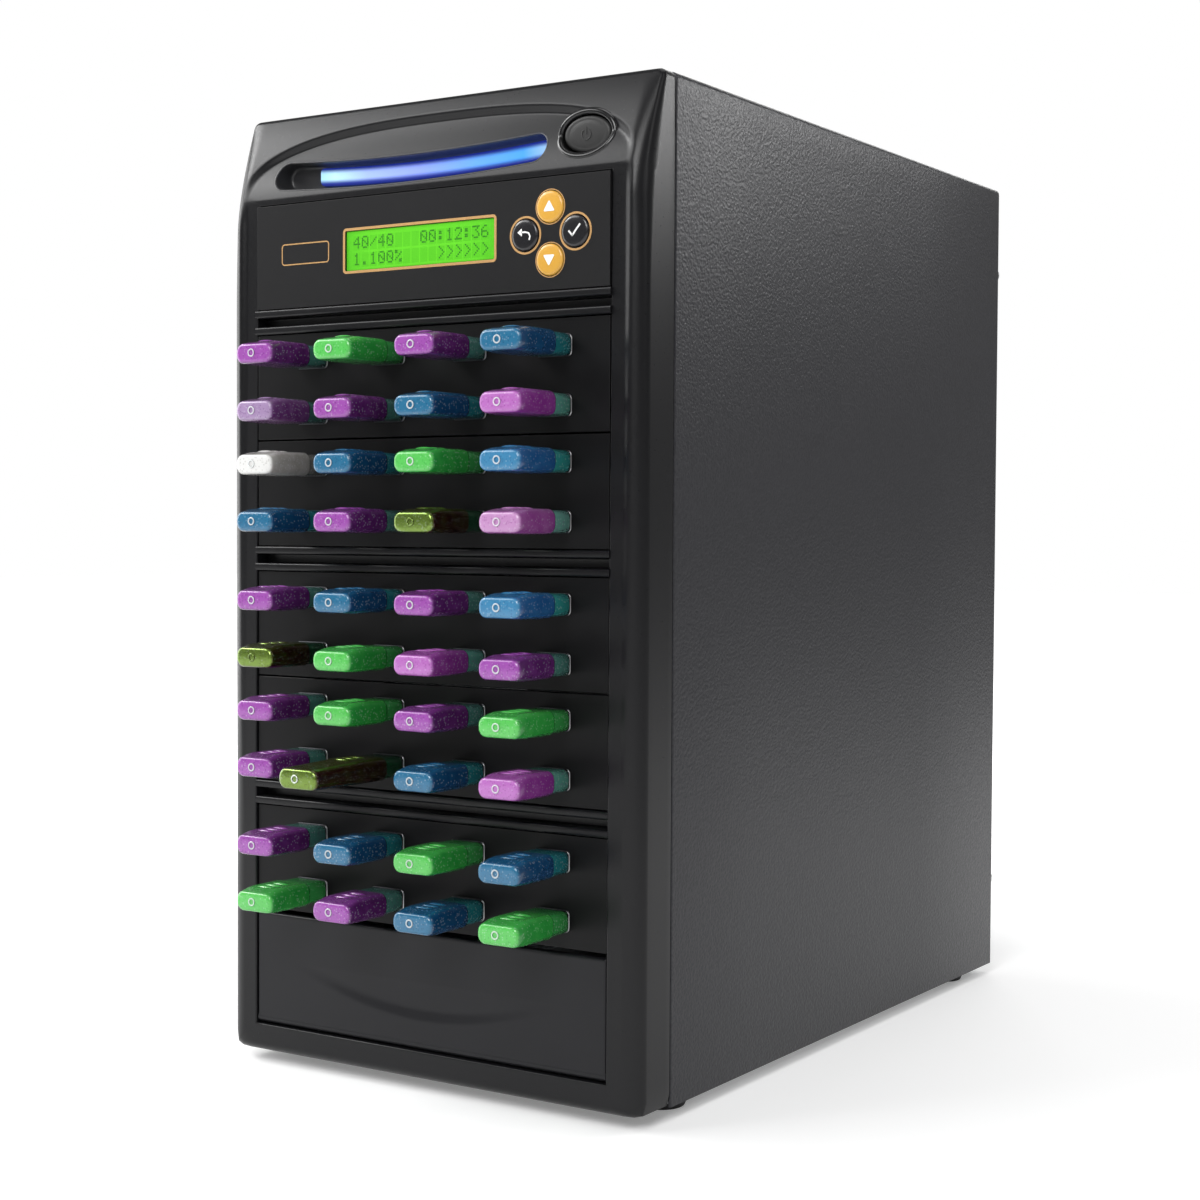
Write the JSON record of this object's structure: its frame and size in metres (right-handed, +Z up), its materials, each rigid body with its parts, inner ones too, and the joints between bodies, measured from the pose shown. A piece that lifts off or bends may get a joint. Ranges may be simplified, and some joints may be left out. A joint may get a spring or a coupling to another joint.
{
  "type": "memory stick duplicator tower",
  "caption": "Upright office tower that copies memory sticks: moulded front with display, keys, blue light bar and stacked port bays full of translucent sticks, in a folded steel case.",
  "frame": {"origin": "under the middle of the whole machine, on the surface that the feet stand on", "axes": "+X to the right seen from the front, +Y from the front to the rear, +Z up"},
  "size_m": [0.1924, 0.3776, 0.375],
  "materials": {
    "bezel": "moulded, satin",
    "cover": "textured powder coat",
    "steel": "zinc-plated sheet",
    "panel": "printed plate",
    "board": "solder mask",
    "bay": "moulded, fine grain",
    "port": "nickel-plated",
    "key_gold": "printed cap",
    "key_black": "printed cap",
    "button": "moulded, satin",
    "lens": "clear acrylic, lit blue",
    "supply": "painted steel",
    "rotor": "moulded",
    "rocker": "moulded, gloss",
    "rubber": "moulded rubber",
    "screw": "nickel-plated",
    "stick_purple": "translucent, moulded",
    "stick_green": "translucent, moulded",
    "stick_blue": "translucent, moulded",
    "stick_lilac": "translucent, moulded",
    "stick_pink": "translucent, moulded",
    "stick_clear": "translucent, moulded",
    "stick_lightblue": "translucent, moulded",
    "stick_palepink": "translucent, moulded",
    "stick_olive": "translucent, moulded"
  },
  "bodies": {
    "housing": {"front_bezel": "bezel", "wrap_cover": "cover", "chassis": "steel", "drive_cage": "steel", "control_panel": "panel", "front_electronics": "board", "light_bar": "lens", "bay_panels": "bay", "hub_boards": "port", "power_supply": "supply", "feet": "rubber", "case_screws": "screw"},
    "key_up": {"key_up": "key_gold"},
    "key_down": {"key_down": "key_gold"},
    "key_back": {"key_back": "key_black"},
    "key_ok": {"key_ok": "key_black"},
    "power_button": {"power_button": "button"},
    "bay_door": {"bay_door": "bay"},
    "fan_rotor": {"fan_rotor": "rotor"},
    "mains_switch": {"mains_switch": "rocker"},
    "stick_1_1": {"stick_1_1": "stick_purple"},
    "stick_1_2": {"stick_1_2": "stick_green"},
    "stick_1_3": {"stick_1_3": "stick_purple"},
    "stick_1_4": {"stick_1_4": "stick_blue"},
    "stick_2_1": {"stick_2_1": "stick_lilac"},
    "stick_2_2": {"stick_2_2": "stick_purple"},
    "stick_2_3": {"stick_2_3": "stick_blue"},
    "stick_2_4": {"stick_2_4": "stick_pink"},
    "stick_3_1": {"stick_3_1": "stick_clear"},
    "stick_3_2": {"stick_3_2": "stick_blue"},
    "stick_3_3": {"stick_3_3": "stick_green"},
    "stick_3_4": {"stick_3_4": "stick_lightblue"},
    "stick_4_1": {"stick_4_1": "stick_blue"},
    "stick_4_2": {"stick_4_2": "stick_purple"},
    "stick_4_3": {"stick_4_3": "stick_olive"},
    "stick_4_4": {"stick_4_4": "stick_palepink"},
    "stick_5_1": {"stick_5_1": "stick_purple"},
    "stick_5_2": {"stick_5_2": "stick_blue"},
    "stick_5_3": {"stick_5_3": "stick_purple"},
    "stick_5_4": {"stick_5_4": "stick_lightblue"},
    "stick_6_1": {"stick_6_1": "stick_olive"},
    "stick_6_2": {"stick_6_2": "stick_green"},
    "stick_6_3": {"stick_6_3": "stick_pink"},
    "stick_6_4": {"stick_6_4": "stick_purple"},
    "stick_7_1": {"stick_7_1": "stick_purple"},
    "stick_7_2": {"stick_7_2": "stick_green"},
    "stick_7_3": {"stick_7_3": "stick_purple"},
    "stick_7_4": {"stick_7_4": "stick_green"},
    "stick_8_1": {"stick_8_1": "stick_purple"},
    "stick_8_2": {"stick_8_2": "stick_olive"},
    "stick_8_3": {"stick_8_3": "stick_blue"},
    "stick_8_4": {"stick_8_4": "stick_pink"},
    "stick_9_1": {"stick_9_1": "stick_purple"},
    "stick_9_2": {"stick_9_2": "stick_blue"},
    "stick_9_3": {"stick_9_3": "stick_green"},
    "stick_9_4": {"stick_9_4": "stick_blue"},
    "stick_10_1": {"stick_10_1": "stick_green"},
    "stick_10_2": {"stick_10_2": "stick_purple"},
    "stick_10_3": {"stick_10_3": "stick_blue"},
    "stick_10_4": {"stick_10_4": "stick_green"}
  },
  "joints": [
    {"name": "key_up_press", "type": "slide", "parent": "housing", "child": "key_up", "axis": [0, 1, 0], "range_m": [0, 0.0008], "stiffness_N_per_m": 1500},
    {"name": "key_down_press", "type": "slide", "parent": "housing", "child": "key_down", "axis": [0, 1, 0], "range_m": [0, 0.0008], "stiffness_N_per_m": 1500},
    {"name": "key_back_press", "type": "slide", "parent": "housing", "child": "key_back", "axis": [0, 1, 0], "range_m": [0, 0.0008], "stiffness_N_per_m": 1500},
    {"name": "key_ok_press", "type": "slide", "parent": "housing", "child": "key_ok", "axis": [0, 1, 0], "range_m": [0, 0.0008], "stiffness_N_per_m": 1500},
    {"name": "power_button_press", "type": "slide", "parent": "housing", "child": "power_button", "axis": [0, 1, 0], "range_m": [0, 0.002], "stiffness_N_per_m": 1000},
    {"name": "bay_door_hinge", "type": "hinge", "parent": "housing", "child": "bay_door", "pos_m": [0, -0.13508, 0.0187], "axis": [1, 0, 0], "range_deg": [0, 90]},
    {"name": "fan_spin", "type": "hinge", "parent": "housing", "child": "fan_rotor", "pos_m": [-0.022, 0.17278, 0.3209], "axis": [0, 1, 0], "continuous": true},
    {"name": "mains_switch_rock", "type": "hinge", "parent": "housing", "child": "mains_switch", "pos_m": [0.042, 0.17977, 0.3379], "axis": [1, 0, 0], "range_deg": [0, 14]},
    {"name": "stick_1_1_pull", "type": "slide", "parent": "housing", "child": "stick_1_1", "axis": [0, -1, 0], "range_m": [0, 0.015]},
    {"name": "stick_1_2_pull", "type": "slide", "parent": "housing", "child": "stick_1_2", "axis": [0, -1, 0], "range_m": [0, 0.015]},
    {"name": "stick_1_3_pull", "type": "slide", "parent": "housing", "child": "stick_1_3", "axis": [0, -1, 0], "range_m": [0, 0.015]},
    {"name": "stick_1_4_pull", "type": "slide", "parent": "housing", "child": "stick_1_4", "axis": [0, -1, 0], "range_m": [0, 0.015]},
    {"name": "stick_2_1_pull", "type": "slide", "parent": "housing", "child": "stick_2_1", "axis": [0, -1, 0], "range_m": [0, 0.015]},
    {"name": "stick_2_2_pull", "type": "slide", "parent": "housing", "child": "stick_2_2", "axis": [0, -1, 0], "range_m": [0, 0.015]},
    {"name": "stick_2_3_pull", "type": "slide", "parent": "housing", "child": "stick_2_3", "axis": [0, -1, 0], "range_m": [0, 0.015]},
    {"name": "stick_2_4_pull", "type": "slide", "parent": "housing", "child": "stick_2_4", "axis": [0, -1, 0], "range_m": [0, 0.015]},
    {"name": "stick_3_1_pull", "type": "slide", "parent": "housing", "child": "stick_3_1", "axis": [0, -1, 0], "range_m": [0, 0.015]},
    {"name": "stick_3_2_pull", "type": "slide", "parent": "housing", "child": "stick_3_2", "axis": [0, -1, 0], "range_m": [0, 0.015]},
    {"name": "stick_3_3_pull", "type": "slide", "parent": "housing", "child": "stick_3_3", "axis": [0, -1, 0], "range_m": [0, 0.015]},
    {"name": "stick_3_4_pull", "type": "slide", "parent": "housing", "child": "stick_3_4", "axis": [0, -1, 0], "range_m": [0, 0.015]},
    {"name": "stick_4_1_pull", "type": "slide", "parent": "housing", "child": "stick_4_1", "axis": [0, -1, 0], "range_m": [0, 0.015]},
    {"name": "stick_4_2_pull", "type": "slide", "parent": "housing", "child": "stick_4_2", "axis": [0, -1, 0], "range_m": [0, 0.015]},
    {"name": "stick_4_3_pull", "type": "slide", "parent": "housing", "child": "stick_4_3", "axis": [0, -1, 0], "range_m": [0, 0.015]},
    {"name": "stick_4_4_pull", "type": "slide", "parent": "housing", "child": "stick_4_4", "axis": [0, -1, 0], "range_m": [0, 0.015]},
    {"name": "stick_5_1_pull", "type": "slide", "parent": "housing", "child": "stick_5_1", "axis": [0, -1, 0], "range_m": [0, 0.015]},
    {"name": "stick_5_2_pull", "type": "slide", "parent": "housing", "child": "stick_5_2", "axis": [0, -1, 0], "range_m": [0, 0.015]},
    {"name": "stick_5_3_pull", "type": "slide", "parent": "housing", "child": "stick_5_3", "axis": [0, -1, 0], "range_m": [0, 0.015]},
    {"name": "stick_5_4_pull", "type": "slide", "parent": "housing", "child": "stick_5_4", "axis": [0, -1, 0], "range_m": [0, 0.015]},
    {"name": "stick_6_1_pull", "type": "slide", "parent": "housing", "child": "stick_6_1", "axis": [0, -1, 0], "range_m": [0, 0.015]},
    {"name": "stick_6_2_pull", "type": "slide", "parent": "housing", "child": "stick_6_2", "axis": [0, -1, 0], "range_m": [0, 0.015]},
    {"name": "stick_6_3_pull", "type": "slide", "parent": "housing", "child": "stick_6_3", "axis": [0, -1, 0], "range_m": [0, 0.015]},
    {"name": "stick_6_4_pull", "type": "slide", "parent": "housing", "child": "stick_6_4", "axis": [0, -1, 0], "range_m": [0, 0.015]},
    {"name": "stick_7_1_pull", "type": "slide", "parent": "housing", "child": "stick_7_1", "axis": [0, -1, 0], "range_m": [0, 0.015]},
    {"name": "stick_7_2_pull", "type": "slide", "parent": "housing", "child": "stick_7_2", "axis": [0, -1, 0], "range_m": [0, 0.015]},
    {"name": "stick_7_3_pull", "type": "slide", "parent": "housing", "child": "stick_7_3", "axis": [0, -1, 0], "range_m": [0, 0.015]},
    {"name": "stick_7_4_pull", "type": "slide", "parent": "housing", "child": "stick_7_4", "axis": [0, -1, 0], "range_m": [0, 0.015]},
    {"name": "stick_8_1_pull", "type": "slide", "parent": "housing", "child": "stick_8_1", "axis": [0, -1, 0], "range_m": [0, 0.015]},
    {"name": "stick_8_2_pull", "type": "slide", "parent": "housing", "child": "stick_8_2", "axis": [0, -1, 0], "range_m": [0, 0.015]},
    {"name": "stick_8_3_pull", "type": "slide", "parent": "housing", "child": "stick_8_3", "axis": [0, -1, 0], "range_m": [0, 0.015]},
    {"name": "stick_8_4_pull", "type": "slide", "parent": "housing", "child": "stick_8_4", "axis": [0, -1, 0], "range_m": [0, 0.015]},
    {"name": "stick_9_1_pull", "type": "slide", "parent": "housing", "child": "stick_9_1", "axis": [0, -1, 0], "range_m": [0, 0.015]},
    {"name": "stick_9_2_pull", "type": "slide", "parent": "housing", "child": "stick_9_2", "axis": [0, -1, 0], "range_m": [0, 0.015]},
    {"name": "stick_9_3_pull", "type": "slide", "parent": "housing", "child": "stick_9_3", "axis": [0, -1, 0], "range_m": [0, 0.015]},
    {"name": "stick_9_4_pull", "type": "slide", "parent": "housing", "child": "stick_9_4", "axis": [0, -1, 0], "range_m": [0, 0.015]},
    {"name": "stick_10_1_pull", "type": "slide", "parent": "housing", "child": "stick_10_1", "axis": [0, -1, 0], "range_m": [0, 0.015]},
    {"name": "stick_10_2_pull", "type": "slide", "parent": "housing", "child": "stick_10_2", "axis": [0, -1, 0], "range_m": [0, 0.015]},
    {"name": "stick_10_3_pull", "type": "slide", "parent": "housing", "child": "stick_10_3", "axis": [0, -1, 0], "range_m": [0, 0.015]},
    {"name": "stick_10_4_pull", "type": "slide", "parent": "housing", "child": "stick_10_4", "axis": [0, -1, 0], "range_m": [0, 0.015]}
  ]
}
